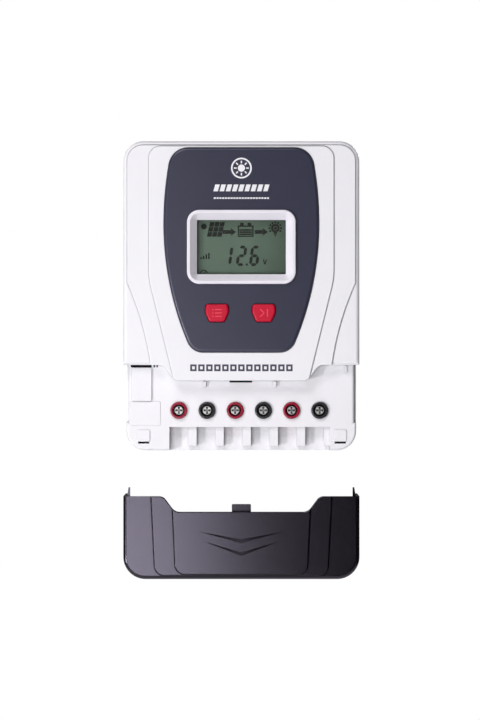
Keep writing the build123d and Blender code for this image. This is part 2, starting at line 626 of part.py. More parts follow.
def make_terminal_cover():
    """Black cover: terraced front, skirt, side walls, tab, prongs and snap noses."""
    outline = cover_outline()
    plate = slab(outline, COVER_SKIRT, OUTER_TERRACE)
    rim = edges_at(plate, OUTER_TERRACE)
    low_rim = rim.filter_by(lambda edge: edge.center().Z < -44)
    plate = fillet(low_rim, FRONT_ROUND)
    middle_outline = cover_terrace(45.3, 43.3, COVER_BOTTOM + 1.9)
    inner_outline = cover_terrace(34.9, 33.0, COVER_BOTTOM + 2.5)
    middle = slab(middle_outline & outline, COVER_INSIDE, MIDDLE_TERRACE)
    middle = fillet(edges_at(middle, MIDDLE_TERRACE), TERRACE_ROUND)
    inner = slab(inner_outline & outline, COVER_INSIDE, INNER_TERRACE)
    inner = fillet(edges_at(inner, INNER_TERRACE), TERRACE_ROUND)
    plate -= foot_groove(middle_outline, OUTER_TERRACE)
    cover = plate + middle - foot_groove(inner_outline, MIDDLE_TERRACE) + inner

    hollow = upright_outline(
        COVER_HALF - COVER_WALL, 1, COVER_BOTTOM + COVER_WALL, 1.0, COVER_CORNER - COVER_WALL)
    cover -= slab(hollow, COVER_SKIRT - 1, COVER_INSIDE)
    for side in (-1, 1):
        edges = sorted((side * (COVER_HALF - COVER_WALL), side * COVER_HALF))
        wall_top = SIDE_EDGE - COVER_GAP
        cover += block(edges[0], edges[1], COVER_SIDE_LOW, wall_top, COVER_SIDE_BACK, COVER_INSIDE)
        cover += prong(side)
        nose_edges = sorted((side * 47.3, side * 51.3))
        cover += block(nose_edges[0], nose_edges[1], -72.6, -71.2, COVER_SKIRT + 0.2, COVER_INSIDE + 0.2)

    # Centre tab that slips behind the lower edge of the case
    tab_low = MIDDLE_EDGE - COVER_GAP - 2
    tab = block(-TAB_HALF, TAB_HALF, tab_low, MIDDLE_EDGE - COVER_GAP + TAB_HEIGHT, TAB_BACK, TAB_FRONT)
    cover += fillet(tab.edges().filter_by(Axis.Y).group_by(Axis.Z)[-1], 0.6)
    cover += block(-TAB_HALF, TAB_HALF, tab_low, tab_low + 1.6, TAB_BACK, COVER_INSIDE + 0.2)

    marks = chevron(21.8, -52.4, -56.4, -58.2) + chevron(19.5, -57.2, -62.9, -64.6)
    cover -= slab(marks, INNER_TERRACE - 1.1, INNER_TERRACE + 1)
    return Pos(0, 0, -COVER_DROP) * cover


def prong(side):
    """Wedge at an upper corner of the cover: upright inner side, slanted outer side."""
    root = SIDE_EDGE - COVER_GAP - 0.6
    tip = SIDE_EDGE - COVER_GAP + PRONG_HEIGHT
    inner = PRONG_INNER
    points = [(inner, root), (inner + 1.6, root), (inner + 0.8, tip), (inner, tip)]
    profile = make_face(Polyline([(side * x, z) for x, z in points], close=True))
    wedge = slab(profile, COVER_SKIRT + 0.2, 38.2)
    edges = sorted((side * PRONG_INNER, side * (COVER_HALF - 0.5)))
    return wedge + block(edges[0], edges[1], root, root + 0.55, COVER_SKIRT + 0.2, COVER_INSIDE + 0.2)


# ---------------------------------------------------------------- electronics
def make_heat_sink():
    """Finned aluminium plate: the fins look out through the window in the back wall."""
    sink = slab(rounded(SINK_SIZE, 2.0, SINK_Z), SINK_FACE - SINK_PLATE, SINK_FACE)
    sink -= rods(SINK_SCREW_SPOTS, 1.7, SINK_FACE - SINK_PLATE - 1, SINK_FACE + 1)
    sink -= rods(BAR_SCREW_SPOTS, 1.55, SINK_FACE - SINK_PLATE - 1, SINK_FACE + 1)
    spacing = (FIN_FIELD[0] - FIN_THICKNESS) / (FINS - 1)
    low = SINK_Z - FIN_FIELD[1] / 2
    high = SINK_Z + FIN_FIELD[1] / 2
    for number in range(FINS):
        left = -FIN_FIELD[0] / 2 + number * spacing
        sink += block(left, left + FIN_THICKNESS, low, high, FIN_BACK, SINK_FACE - SINK_PLATE + 0.2)
    return sink


def make_main_board():
    """Power board on its four posts."""
    middle = (MAIN_LOW + MAIN_HIGH) / 2
    board = slab(rounded((2 * MAIN_HALF, MAIN_HIGH - MAIN_LOW), 2.0, middle), MAIN_BOARD, MAIN_FRONT)
    board -= rods(BAR_SCREW_SPOTS, 3.2, MAIN_BOARD - 1, MAIN_FRONT + 1)
    return board - rods(BOARD_SCREW_SPOTS, 1.6, MAIN_BOARD - 1, MAIN_FRONT + 1)


def make_mosfets():
    """Row of power transistors lying flat against the heat sink."""
    back = SINK_FACE + 0.37
    devices = Part()
    for number in range(MOSFETS):
        x = (number - (MOSFETS - 1) / 2) * MOSFET_PITCH
        body = block(x - 5, x + 5, MOSFET_Z - 4.5, MOSFET_Z + 4.5, back, back + 4.4)
        tab = block(x - 5, x + 5, MOSFET_Z + 4.4, MOSFET_Z + 10.8, back, back + 1.3)
        tab -= rod((x, MOSFET_Z + 7.8), 1.8, back - 1, back + 2)
        device = body + tab
        for leg in (-1, 0, 1):
            leg_x = x + leg * 2.54
            device += block(leg_x - 0.4, leg_x + 0.4, MOSFET_Z - 8, MOSFET_Z - 4.4, 13.5, 14.1)
            device += block(leg_x - 0.4, leg_x + 0.4, MOSFET_Z - 8, MOSFET_Z - 7.4, 13.5, MAIN_BOARD - 0.05)
        devices += device
    return devices


def make_choke():
    """Wound ring lying on the main board."""
    ring = rod((-20, -33), 12.5, MAIN_FRONT + 0.3, MAIN_FRONT + 9.5)
    ring -= rod((-20, -33), 6.0, MAIN_FRONT, MAIN_FRONT + 11)
    return fillet(ring.edges(), 2.0)


def make_capacitors():
    """Upright round capacitors along the top of the main board."""
    cans = Part()
    for x in (-20.0, 0.0, 20.0):
        can = rod((x, 57.0), 6.3, MAIN_FRONT + 0.05, 36.0)
        cans += fillet(edges_at(can, 36.0), 0.8)
    return cans


def make_control_chips():
    """Control chips on the front of the main board."""
    chips = Part()
    for x, z, width, height in ((18, 6, 10, 10), (-14, 18, 6, 5), (2, -6, 5, 4)):
        low = z - height / 2
        chips += block(x - width / 2, x + width / 2, low, low + height, MAIN_FRONT + 0.02, 21.6)
    return chips


def make_current_shunts():
    """Two bridge-shaped measuring resistors on the main board."""
    shunts = Part()
    for x in (14.0, 26.0):
        bridge = block(x - 4, x + 4, -36.5, -33.5, MAIN_FRONT + 0.02, 25)
        shunts += bridge - block(x - 3.2, x + 3.2, -37, -33, MAIN_FRONT, 24.2)
    return shunts


def pan_screws(spots, shank_radius, head_radius, shank_end, head_start, head_end):
    """Identical screws along the depth direction, drawn without thread."""
    screws = Part()
    shank_near = min(shank_end, head_start)
    shank_far = max(shank_end, head_start)
    for spot in spots:
        shank = rod(spot, shank_radius, shank_near, shank_far)
        head = rod(spot, head_radius, min(head_start, head_end), max(head_start, head_end))
        head = fillet(edges_at(head, head_end), 0.5)
        cross = Pos(*spot) * (Rectangle(head_radius * 1.2, 0.7) + Rectangle(0.7, head_radius * 1.2))
        recess = sorted((head_end, head_end + (head_start - head_end) * 0.5))
        outside = 1 if head_end > head_start else -1
        recess[1 if outside > 0 else 0] += outside
        screws += shank + head - slab(cross, recess[0], recess[1])
    return screws


# ---------------------------------------------------------------- write the parts
def make_all():
    """Every node of the controller, by name."""
    parts = {
        "base_tray": make_base_tray(),
        "front_case": make_front_case(),
        "front_panel": make_front_panel(),
        "terminal_deck": make_terminal_deck(),
        "terminal_cover": make_terminal_cover(),
        "lcd_bezel": make_lcd_bezel(),
        "key_switches": make_switches(),
        "heat_sink": make_heat_sink(),
        "main_board": make_main_board(),
        "mosfets": make_mosfets(),
        "choke": make_choke(),
        "capacitors": make_capacitors(),
        "control_chips": make_control_chips(),
        "current_shunts": make_current_shunts(),
        "current_bars": make_current_bars(),
        "thermal_pad": block(-36, 36, 24, 41, SINK_FACE + 0.02, SINK_FACE + 0.35),
        "mosfet_clamp": slab(rounded((84, 7), 1.0, MOSFET_Z), 15.8, 17.0)
        - rods(BAR_SCREW_SPOTS, 1.7, 15, 18),
        "board_link": block(-29.5, -27, -8, 12, MAIN_FRONT + 0.02, DISPLAY_BOARD - 0.02),
        "case_screws": pan_screws(CASE_SCREW_SPOTS, 1.5, 2.9, 24, 6.98, 5.0),
        "deck_screws": pan_screws(DECK_SCREW_SPOTS, 1.5, 2.9, 24, 6.98, 5.0),
        "board_screws": pan_screws(BOARD_SCREW_SPOTS, 1.25, 2.6, 9, MAIN_FRONT + 0.02, 21.8),
        "heat_sink_screws": pan_screws(SINK_SCREW_SPOTS, 1.4, 2.6, 4, SINK_FACE + 0.02, 12.8),
        "display_screws": pan_screws(DISPLAY_SCREW_SPOTS, 1.0, 2.0, 37, DISPLAY_BOARD - 0.02, 29.3),
        "clamp_bar_screws": pan_screws(BAR_SCREW_SPOTS, 1.5, 2.7, 8.2, 17.02, 18.8),
    }
    window, glass, backlight, pins, board = make_display()
    parts["lcd_window"] = window
    parts["lcd_glass"] = glass
    parts["lcd_backlight"] = backlight
    parts["lcd_pins"] = pins
    parts["display_board"] = board
    for name, side in (("left", -1), ("right", 1)):
        parts["button_" + name] = make_button(side)
        parts["switch_plunger_" + name] = make_plunger(side)
    for number in range(TERMINALS):
        x = terminal_x(number)
        parts[f"terminal_housing_{number + 1}"] = make_terminal_housing(x)
        parts[f"clamp_cage_{number + 1}"] = make_clamp_cage(x)
        parts[f"clamp_screw_{number + 1}"] = make_clamp_screw(x)
    return parts


os.makedirs("parts", exist_ok=True)
for node, shape in make_all().items():
    export_step(shape, f"parts/{node}.step")
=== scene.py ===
import json
from math import cos, pi, radians, sin

import bmesh
import bpy
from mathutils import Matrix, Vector


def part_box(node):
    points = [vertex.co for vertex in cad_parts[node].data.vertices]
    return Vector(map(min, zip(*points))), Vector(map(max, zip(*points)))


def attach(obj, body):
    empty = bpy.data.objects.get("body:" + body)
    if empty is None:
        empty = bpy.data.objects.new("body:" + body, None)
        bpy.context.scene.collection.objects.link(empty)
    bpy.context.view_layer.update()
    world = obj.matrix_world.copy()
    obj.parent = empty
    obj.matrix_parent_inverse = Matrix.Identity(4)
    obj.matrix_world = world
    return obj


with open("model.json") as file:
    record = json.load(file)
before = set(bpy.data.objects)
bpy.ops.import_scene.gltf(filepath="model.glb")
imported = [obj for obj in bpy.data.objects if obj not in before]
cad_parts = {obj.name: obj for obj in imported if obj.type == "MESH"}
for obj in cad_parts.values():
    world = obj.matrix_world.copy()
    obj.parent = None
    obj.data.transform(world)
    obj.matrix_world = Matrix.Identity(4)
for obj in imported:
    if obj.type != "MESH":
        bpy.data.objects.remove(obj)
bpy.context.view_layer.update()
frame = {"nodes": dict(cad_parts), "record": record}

# Solar charge controller: looks, printed marks, display symbols, light and camera.
# The frame's axes: +X right, +Z up, -Y out of the wall. Blender units are metres.

MM = 0.001
NODES = frame["nodes"]


def front_of(node):
    """Depth in metres of a node's frontmost face, measured out from the wall."""
    return -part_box(node)[0][1]


def centre_of(node):
    """Centre of a node's box."""
    low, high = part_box(node)
    return (Vector(low) + Vector(high)) / 2


# ---------------------------------------------------------------- materials
def new_material(name):
    """Empty node material with a Principled shader and object coordinates."""
    material = bpy.data.materials.new(name)
    material.use_nodes = True
    tree = material.node_tree
    shader = tree.nodes["Principled BSDF"]
    place = tree.nodes.new("ShaderNodeTexCoord")
    return material, tree, shader, place.outputs["Object"]


def noise(tree, place, scale, detail=3.0, roughness=0.5):
    """Noise texture in object space; scale is in cycles per metre."""
    node = tree.nodes.new("ShaderNodeTexNoise")
    node.inputs["Scale"].default_value = scale
    node.inputs["Detail"].default_value = detail
    node.inputs["Roughness"].default_value = roughness
    tree.links.new(place, node.inputs["Vector"])
    return node.outputs["Fac"]


def spread(tree, value, low, high, start=0.3, end=0.7):
    """Maps a texture value onto a range."""
    node = tree.nodes.new("ShaderNodeMapRange")
    node.inputs["From Min"].default_value = start
    node.inputs["From Max"].default_value = end
    node.inputs["To Min"].default_value = low
    node.inputs["To Max"].default_value = high
    tree.links.new(value, node.inputs["Value"])
    return node.outputs["Result"]


def blend_colours(tree, value, first, second):
    """Colour ramp between two colours."""
    node = tree.nodes.new("ShaderNodeValToRGB")
    node.color_ramp.elements[0].position = 0.35
    node.color_ramp.elements[1].position = 0.65
    node.color_ramp.elements[0].color = (*first, 1.0)
    node.color_ramp.elements[1].color = (*second, 1.0)
    tree.links.new(value, node.inputs["Fac"])
    return node.outputs["Color"]


def bump(tree, shader, value, strength, distance):
    """Bump from a texture value; distance is in metres."""
    node = tree.nodes.new("ShaderNodeBump")
    node.inputs["Strength"].default_value = strength
    node.inputs["Distance"].default_value = distance
    tree.links.new(value, node.inputs["Height"])
    tree.links.new(node.outputs["Normal"], shader.inputs["Normal"])


def painted_corner_shade(tree, reach, lowest, highest):
    """Painted shade: a value that falls from highest to lowest in grooves and inside corners, where shade
    would fall; reach is in metres.
    """
    sense = tree.nodes.new("ShaderNodeAmbientOcclusion")
    sense.inputs["Distance"].default_value = reach
    sense.samples = 8
    return spread(tree, sense.outputs["AO"], lowest, highest, 0.35, 0.95)


def dimmed(tree, colour, factor):
    """A colour multiplied by a value."""
    product = tree.nodes.new("ShaderNodeVectorMath")
    product.operation = "SCALE"
    tree.links.new(colour, product.inputs[0])
    tree.links.new(factor, product.inputs["Scale"])
    return product.outputs["Vector"]


def shade(colour, factor):
    """The same colour, lighter or darker."""
    return tuple(min(1.0, channel * factor) for channel in colour)


def plastic(name, colour, roughness=0.45, grain=2600, grain_depth=0.00002, strength=0.15,
            variation=0.03, specular=0.5, tint=(1, 1, 1), uneven=0.03, reach=0.0, darkest=0.5):
    """Moulded plastic: fine spark-eroded grain, slight mottling and uneven gloss; with reach, painted
    shade darkens its colour and gloss in grooves and inside corners.
    """
    material, tree, shader, place = new_material(name)
    mottle = noise(tree, place, 45, 4.0)
    tone = blend_colours(tree, mottle, shade(colour, 1 - variation), shade(colour, 1 + variation))
    shader.inputs["Specular IOR Level"].default_value = specular
    # With reach, painted shade darkens the colour and the gloss level in grooves and inside corners.
    if reach:
        tone = dimmed(tree, tone, painted_corner_shade(tree, reach, darkest, 1.0))
        gloss_with_painted_shade = painted_corner_shade(tree, reach, darkest * specular, specular)
        tree.links.new(gloss_with_painted_shade, shader.inputs["Specular IOR Level"])
    tree.links.new(tone, shader.inputs["Base Color"])
    fine = noise(tree, place, grain, 2.0, 0.6)
    gloss = noise(tree, place, 160, 3.0)
    finish = spread(tree, gloss, roughness - uneven, roughness + uneven)
    tree.links.new(finish, shader.inputs["Roughness"])
    bump(tree, shader, fine, strength, grain_depth)
    shader.inputs["Specular Tint"].default_value = (*tint, 1)
    return material


def metal(name, colour, roughness=0.25, streak=(900, 60, 900), strength=0.1, reach=0.0):
    """Plated or brushed metal with fine drawn streaks; with reach, painted shade darkens its colour in
    recesses.
    """
    material, tree, shader, place = new_material(name)
    stretch = tree.nodes.new("ShaderNodeMapping")
    stretch.inputs["Scale"].default_value = streak
    tree.links.new(place, stretch.inputs["Vector"])
    lines = noise(tree, stretch.outputs["Vector"], 1.0, 3.0)
    blotch = noise(tree, place, 300, 3.0)
    tone = blend_colours(tree, blotch, shade(colour, 0.9), shade(colour, 1.05))
    # With reach, painted shade darkens the colour in recesses.
    if reach:
        tone = dimmed(tree, tone, painted_corner_shade(tree, reach, 0.02, 1.0))
    tree.links.new(tone, shader.inputs["Base Color"])
    shader.inputs["Metallic"].default_value = 1.0
    tree.links.new(spread(tree, lines, roughness - 0.06, roughness + 0.1), shader.inputs["Roughness"])
    bump(tree, shader, lines, strength, 0.00002)
    return material


def printed(name, colour, roughness=0.5):
    """Screen-printed ink with a faintly uneven edge and tone."""
    material, tree, shader, place = new_material(name)
    speck = noise(tree, place, 1800, 2.0)
    tone = blend_colours(tree, speck, shade(colour, 0.93), colour)
    tree.links.new(tone, shader.inputs["Base Color"])
    shader.inputs["Roughness"].default_value = roughness
    bump(tree, shader, speck, 0.05, 0.00001)
    return material


def clear_plastic(name):
    """Clear display window with faint haze."""
    material, tree, shader, place = new_material(name)
    haze = noise(tree, place, 220, 3.0)
    tree.links.new(spread(tree, haze, 0.02, 0.06), shader.inputs["Roughness"])
    shader.inputs["Base Color"].default_value = (0.03, 0.035, 0.03, 1.0)
    shader.inputs["Alpha"].default_value = 0.14
    shader.inputs["IOR"].default_value = 1.45
    return material


def display_cell(name, colour):
    """Segment display: satin polariser over a softly mottled reflector, with painted shade that dims it to
    the right.
    """
    material, tree, shader, place = new_material(name)
    clouds = noise(tree, place, 70, 2.0)
    tone = blend_colours(tree, clouds, shade(colour, 0.94), shade(colour, 1.06))
    # Painted shade: the colour dims towards the right along the object's X.
    split = tree.nodes.new("ShaderNodeSeparateXYZ")
    tree.links.new(place, split.inputs["Vector"])
    painted_right_shade = spread(tree, split.outputs["X"], 1.0, 0.60, 0.002, 0.022)
    tree.links.new(dimmed(tree, tone, painted_right_shade), shader.inputs["Base Color"])
    grit = noise(tree, place, 3500, 1.0)
    bump(tree, shader, grit, 0.08, 0.00001)
    shader.inputs["Roughness"].default_value = 0.42
    shader.inputs["Specular IOR Level"].default_value = 0.3
    return material


def circuit_board(name):
    """Green solder mask over faint copper tracks, with painted shade darkening it in corners and under
    parts.
    """
    material, tree, shader, place = new_material(name)
    tracks = tree.nodes.new("ShaderNodeTexBrick")
    tracks.inputs["Scale"].default_value = 180
    tracks.inputs["Mortar Size"].default_value = 0.03
    tracks.inputs["Color1"].default_value = (0.012, 0.11, 0.04, 1)
    tracks.inputs["Color2"].default_value = (0.015, 0.13, 0.05, 1)
    tracks.inputs["Mortar"].default_value = (0.03, 0.20, 0.07, 1)
    turn = tree.nodes.new("ShaderNodeMapping")
    turn.inputs["Rotation"].default_value = (radians(90), 0, 0)
    tree.links.new(place, turn.inputs["Vector"])
    tree.links.new(turn.outputs["Vector"], tracks.inputs["Vector"])
    # Painted shade: darkens the board in corners and under the parts standing on it.
    tone = dimmed(tree, tracks.outputs["Color"], painted_corner_shade(tree, 0.012, 0.02, 1.0))
    tree.links.new(tone, shader.inputs["Base Color"])
    shader.inputs["Roughness"].default_value = 0.3
    return material


WHITE = (0.80, 0.80, 0.83)
SLATE = (0.030, 0.032, 0.055)
CHARCOAL = (0.0035, 0.0025, 0.0040)
LCD_GREEN = (0.165, 0.245, 0.180)
MARK_WHITE = (0.82, 0.82, 0.85)
MARK_DARK = (0.045, 0.040, 0.080)
SEGMENT_DARK = (0.003, 0.006, 0.004)


def make_materials():
    """One finished material for each of the record's slots, and one for each kind of print."""
    return {
        # reach and darkest set the painted shade in grooves and inside corners of white_plastic,
        # cover_plastic and bright_steel.
        "white_plastic": plastic("white_plastic", WHITE, 0.42, variation=0.006, reach=0.0012, darkest=0.7),
        "slate_plastic": plastic("slate_plastic", SLATE, 0.30, strength=0.08, variation=0.03, uneven=0.006,
                                 tint=(1.0, 0.96, 1.10)),
        "bezel_plastic": plastic("bezel_plastic", (0.78, 0.76, 0.82), 0.30, strength=0.05),
        "clear_window": clear_plastic("clear_window"),
        "lcd_cell": display_cell("lcd_cell", LCD_GREEN),
        "light_guide": plastic("light_guide", (0.78, 0.82, 0.76), 0.5),
        "circuit_board": circuit_board("circuit_board"),
        "black_plastic": plastic("black_plastic", (0.016, 0.016, 0.018), 0.5),
        "red_key": plastic("red_key", (0.52, 0.001, 0.026), 0.42, strength=0.1, variation=0.05,
                           specular=0.3),
        "red_terminal": plastic("red_terminal", (0.30, 0.006, 0.030), 0.22, strength=0.05),
        "black_terminal": plastic("black_terminal", (0.018, 0.018, 0.022), 0.25, strength=0.05),
        "cover_plastic": plastic("cover_plastic", CHARCOAL, 0.20, grain=1300, grain_depth=0.00004,
                                 strength=0.30, variation=0.10, uneven=0.006, specular=0.55,
                                 tint=(1.0, 0.93, 1.18), reach=0.0016, darkest=0.06),
        "black_aluminium": metal("black_aluminium", (0.05, 0.05, 0.055), 0.42, (900, 900, 40)),
        "thermal_rubber": plastic("thermal_rubber", (0.42, 0.47, 0.52), 0.7),
        "tinned_steel": metal("tinned_steel", (0.60, 0.60, 0.58), 0.30),
        "bright_steel": metal("bright_steel", (0.62, 0.62, 0.61), 0.34, (600, 600, 600), reach=0.0022),
        "copper_bar": metal("copper_bar", (0.70, 0.36, 0.20), 0.30),
        "copper_winding": plastic("copper_winding", (0.42, 0.15, 0.05), 0.25),
        "capacitor_sleeve": plastic("capacitor_sleeve", (0.015, 0.016, 0.04), 0.25),
        "mark_white": printed("mark_white", MARK_WHITE),
        "mark_dark": printed("mark_dark", MARK_DARK),
        "segment": printed("segment", SEGMENT_DARK, 0.6),
        "key_icon": plastic("key_icon", (0.78, 0.06, 0.10), 0.3),
    }


def dress_nodes(materials):
    """Gives every CAD node the finished material of its slot."""
    for entry in frame["record"]["subparts"]:
        node = NODES[entry["node"]]
        node.data.materials.clear()
        node.data.materials.append(materials[entry["material_slot"]])


# ---------------------------------------------------------------- flat marks
INK_SUNK = 0.05 * MM     # how far a print reaches into the surface behind it
INK_PROUD = 0.03 * MM    # and how far it stands out of it
ICON_PROUD = 0.12 * MM   # the raised icons on the keys
SEGMENTS_SUNK = 0.02 * MM
SEGMENTS_PROUD = 0.05 * MM


def quad(x, z, width, height, slant=0.0):
    """Bar centred at (x, z); slant shifts its top to the right by slant times the height."""
    lean = slant * height / 2
    half = width / 2
    top = z + height / 2
    low = z - height / 2
    return [(x - half - lean, low), (x + half - lean, low), (x + half + lean, top), (x - half + lean, top)]


def disc(x, z, radius, sides=40):
    """Filled circle."""
    return [(x + radius * cos(2 * pi * k / sides), z + radius * sin(2 * pi * k / sides))
            for k in range(sides)]


def ring(x, z, outer, inner, start=0.0, sweep=360.0, sides=48):
    """Ring or part of a ring, as a run of four-sided pieces."""
    pieces = []
    for k in range(sides):
        first = radians(start + sweep * k / sides)
        second = radians(start + sweep * (k + 1) / sides)
        pieces.append([
            (x + inner * cos(first), z + inner * sin(first)),
            (x + outer * cos(first), z + outer * sin(first)),
            (x + outer * cos(second), z + outer * sin(second)),
            (x + inner * cos(second), z + inner * sin(second)),
        ])
    return pieces


def stroke(start, end, width):
    """Straight line of a given width with square ends."""
    along = Vector((end[0] - start[0], end[1] - start[1])).normalized()
    side = Vector((-along.y, along.x)) * width / 2
    first = Vector(start)
    second = Vector(end)
    return [tuple(first - side), tuple(second - side), tuple(second + side), tuple(first + side)]


def plates(name, outlines, near, far, body, material, origin):
    """Thin raised plates from convex outlines in mm around origin, between two depths in metres."""
    shape = bmesh.new()
    for outline in outlines:
        back = [shape.verts.new((origin[0] + x * MM, -near, origin[1] + z * MM)) for x, z in outline]
        front = [shape.verts.new((origin[0] + x * MM, -far, origin[1] + z * MM)) for x, z in outline]
        shape.faces.new(back[::-1])
        shape.faces.new(front)
        count = len(outline)
        for k in range(count):
            after = (k + 1) % count
            shape.faces.new([back[k], back[after], front[after], front[k]])
    bmesh.ops.recalc_face_normals(shape, faces=shape.faces)
    mesh = bpy.data.meshes.new(name)
    shape.to_mesh(mesh)
    shape.free()
    piece = bpy.data.objects.new(name, mesh)
    bpy.context.scene.collection.objects.link(piece)
    mesh.materials.append(material)
    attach(piece, body)
    return piece


# ---------------------------------------------------------------- display symbols
DIGIT_SEGMENTS = {"1": "bc", "2": "abged", "6": "afgedc"}
DIGIT_WIDTH = 3.2
DIGIT_HEIGHT = 8.75
DIGIT_STROKE = 1.5
DIGIT_GAP = 0.16         # between a segment's tip and its corner of the digit
DIGIT_LOW = -8.65        # lower stroke, below the display's centre
DIGIT_SLANT = 0.13
ARROW_LENGTH = 6.6
ROW_Z = 7.7              # height of the symbol row above the display's centre


def digit(character, x):
    """Slanted seven-segment digit whose lower left corner is at x."""
    half = DIGIT_HEIGHT / 2
    places = {
        "a": ((0, 2 * half), (DIGIT_WIDTH, 2 * half)),
        "g": ((0, half), (DIGIT_WIDTH, half)),
        "d": ((0, 0), (DIGIT_WIDTH, 0)),
        "f": ((0, half), (0, 2 * half)),
        "b": ((DIGIT_WIDTH, half), (DIGIT_WIDTH, 2 * half)),
        "e": ((0, 0), (0, half)),
        "c": ((DIGIT_WIDTH, 0), (DIGIT_WIDTH, half)),
    }
    shapes = []
    for segment in DIGIT_SEGMENTS[character]:
        start, end = (Vector(point) for point in places[segment])
        along = (end - start).normalized()
        side = Vector((-along.y, along.x)) * DIGIT_STROKE / 2
        tip = DIGIT_STROKE / 2
        first = start + along * DIGIT_GAP
        last = end - along * DIGIT_GAP
        outline = [first, first + along * tip - side, last - along * tip - side,
                   last, last - along * tip + side, first + along * tip + side]
        shapes.append([(x + point.x + DIGIT_SLANT * point.y, DIGIT_LOW + point.y) for point in outline])
    return shapes


def arrow(x):
    """Flow arrow that starts at x, in the symbol row."""
    neck = x + ARROW_LENGTH - 2.6
    return [
        quad((x + neck) / 2, ROW_Z, neck - x, 1.9),
        [(neck, ROW_Z - 1.95), (x + ARROW_LENGTH, ROW_Z), (neck, ROW_Z + 1.95)],
    ]


def solar_panel():
    """Leaning solar panel of three by three cells with a small sun beside it."""
    shapes = [disc(-18.8, 10.4, 1.45)]
    for column in range(3):
        for row in range(3):
            z = 6.5 + row * 2.5
            x = -15.9 + column * 2.55 + 0.22 * (z - 6.5)
            shapes.append(quad(x, z, 2.3, 2.3, 0.22))
    return shapes


def battery():
    """Battery outline with two posts and three charge bars."""
    shapes = [quad(2.15, 10.6, 7.9, 0.7), quad(2.15, 5.5, 7.9, 0.6)]
    shapes += [quad(-1.45, 8.05, 0.7, 4.4), quad(5.75, 8.05, 0.7, 4.4)]
    shapes += [quad(0.25, 11.6, 1.8, 1.3), quad(4.05, 11.6, 1.8, 1.3)]
    shapes += [quad(2.15, z, 6.1, 0.85) for z in (6.5, 7.6, 8.7)]
    return shapes


def bulb():
    """Glowing lamp: bulb, cap and rays."""
    x, z = 17.0, 9.6
    shapes = ring(x, z, 2.15, 1.1) + [disc(x, z, 0.8)]
    shapes += [quad(x, z - 2.3, 1.6, 0.7), quad(x, z - 3.1, 1.4, 0.6), quad(x, z - 3.9, 0.8, 0.5)]
    for angle in range(-30, 211, 30):
        way = Vector((cos(radians(angle)), sin(radians(angle))))
        start = Vector((x, z)) + way * 2.4
        end = Vector((x, z)) + way * 3.4
        shapes.append(stroke(start, end, 0.9))
    return shapes


def display_symbols():
    """Everything that the display shows."""
    shapes = solar_panel() + arrow(-9.3) + battery() + arrow(6.7) + bulb()
    shapes += digit("1", -9.1) + digit("2", -2.1) + digit("6", 4.5)
    shapes += [quad(2.75, DIGIT_LOW, 1.0, 1.0)]
    shapes += [stroke((11.0, -6.0), (11.75, -8.6), 0.6), stroke((12.6, -6.0), (11.8, -8.6), 0.6)]
    shapes += [quad(-20.2 + 1.3 * k, -5.4 + 0.35 * k, 0.8, 0.9 + 0.7 * k) for k in range(4)]
    shapes += ring(-18.8, -13.2, 2.0, 1.5, 10, 160, 20) + [stroke((-18.8, -13.1), (-17.8, -11.9), 0.35)]
    return shapes


# ---------------------------------------------------------------- printed marks
def sun_mark():
    """Plain sun in a ring."""
    shapes = ring(0, 0, 5.2, 4.4) + [disc(0, 0, 1.8)]
    for k in range(8):
        way = Vector((cos(k * pi / 4), sin(k * pi / 4)))
        shapes.append(stroke(way * 2.4, way * 3.7, 0.65))
    return shapes


def cell_band(width, height, cells, slant):
    """Row of leaning solid cells."""
    pitch = width / cells
    return [quad((k - (cells - 1) / 2) * pitch, 0, pitch * 0.72, height, slant) for k in range(cells)]


def open_cells(width, height, cells, line):
    """Row of outlined cells, like a plain level scale."""
    pitch = width / cells
    cell = pitch * 0.8
    shapes = []
    for k in range(cells):
        x = (k - (cells - 1) / 2) * pitch
        shapes += [quad(x, side * (height - line) / 2, cell, line) for side in (-1, 1)]
        shapes += [quad(x + side * (cell - line) / 2, 0, line, height - 2 * line) for side in (-1, 1)]
    return shapes


def list_icon():
    """Three short lines, each with a dot before it."""
    shapes = []
    for z in (1.7, 0.0, -1.7):
        shapes += [quad(-2.0, z, 0.6, 0.6), quad(0.7, z, 3.4, 0.5)]
    return shapes


def enter_icon():
    """Right-pointing chevron against a bar."""
    return [stroke((-1.8, 1.9), (0.2, 0.0), 0.55), stroke((0.2, 0.0), (-1.8, -1.9), 0.55),
            quad(1.8, 0, 0.55, 3.8)]


def add_marks(materials):
    """Display symbols, the generic print on panel and case, and the icons on the keys."""
    glass_front = front_of("lcd_glass")
    glass = centre_of("lcd_glass")
    plates("lcd_symbols", display_symbols(), glass_front - SEGMENTS_SUNK, glass_front + SEGMENTS_PROUD,
           "chassis", materials["segment"], (glass.x, glass.z))

    panel_front = front_of("front_panel")
    panel_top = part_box("front_panel")[1][2]
    near = panel_front - INK_SUNK
    far = panel_front + INK_PROUD
    white = materials["mark_white"]
    plates("panel_sun_mark", sun_mark(), near, far, "chassis", white,
           (0, panel_top - 10.4 * MM))
    plates("panel_cell_band", cell_band(28.0, 3.4, 9, 0.28), near, far, "chassis", white,
           (0, panel_top - 20.3 * MM))
    plates("panel_thin_rule", cell_band(28.0, 0.8, 20, 0.0), near, far, "chassis", white,
           (0, panel_top - 25.4 * MM))

    case_front = front_of("front_case")
    case_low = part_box("front_case")[0][2]
    plates("case_level_scale", open_cells(52.0, 3.4, 13, 0.95), case_front - INK_SUNK,
           case_front + INK_PROUD, "chassis", materials["mark_dark"],
           (0, case_low + 6.4 * MM))

    for side, icon in (("left", list_icon()), ("right", enter_icon())):
        node = "button_" + side
        cap_front = front_of(node)
        cap = centre_of(node)
        plates(node + "_icon", icon, cap_front - INK_SUNK, cap_front + ICON_PROUD, node,
               materials["key_icon"], (cap.x, cap.z))


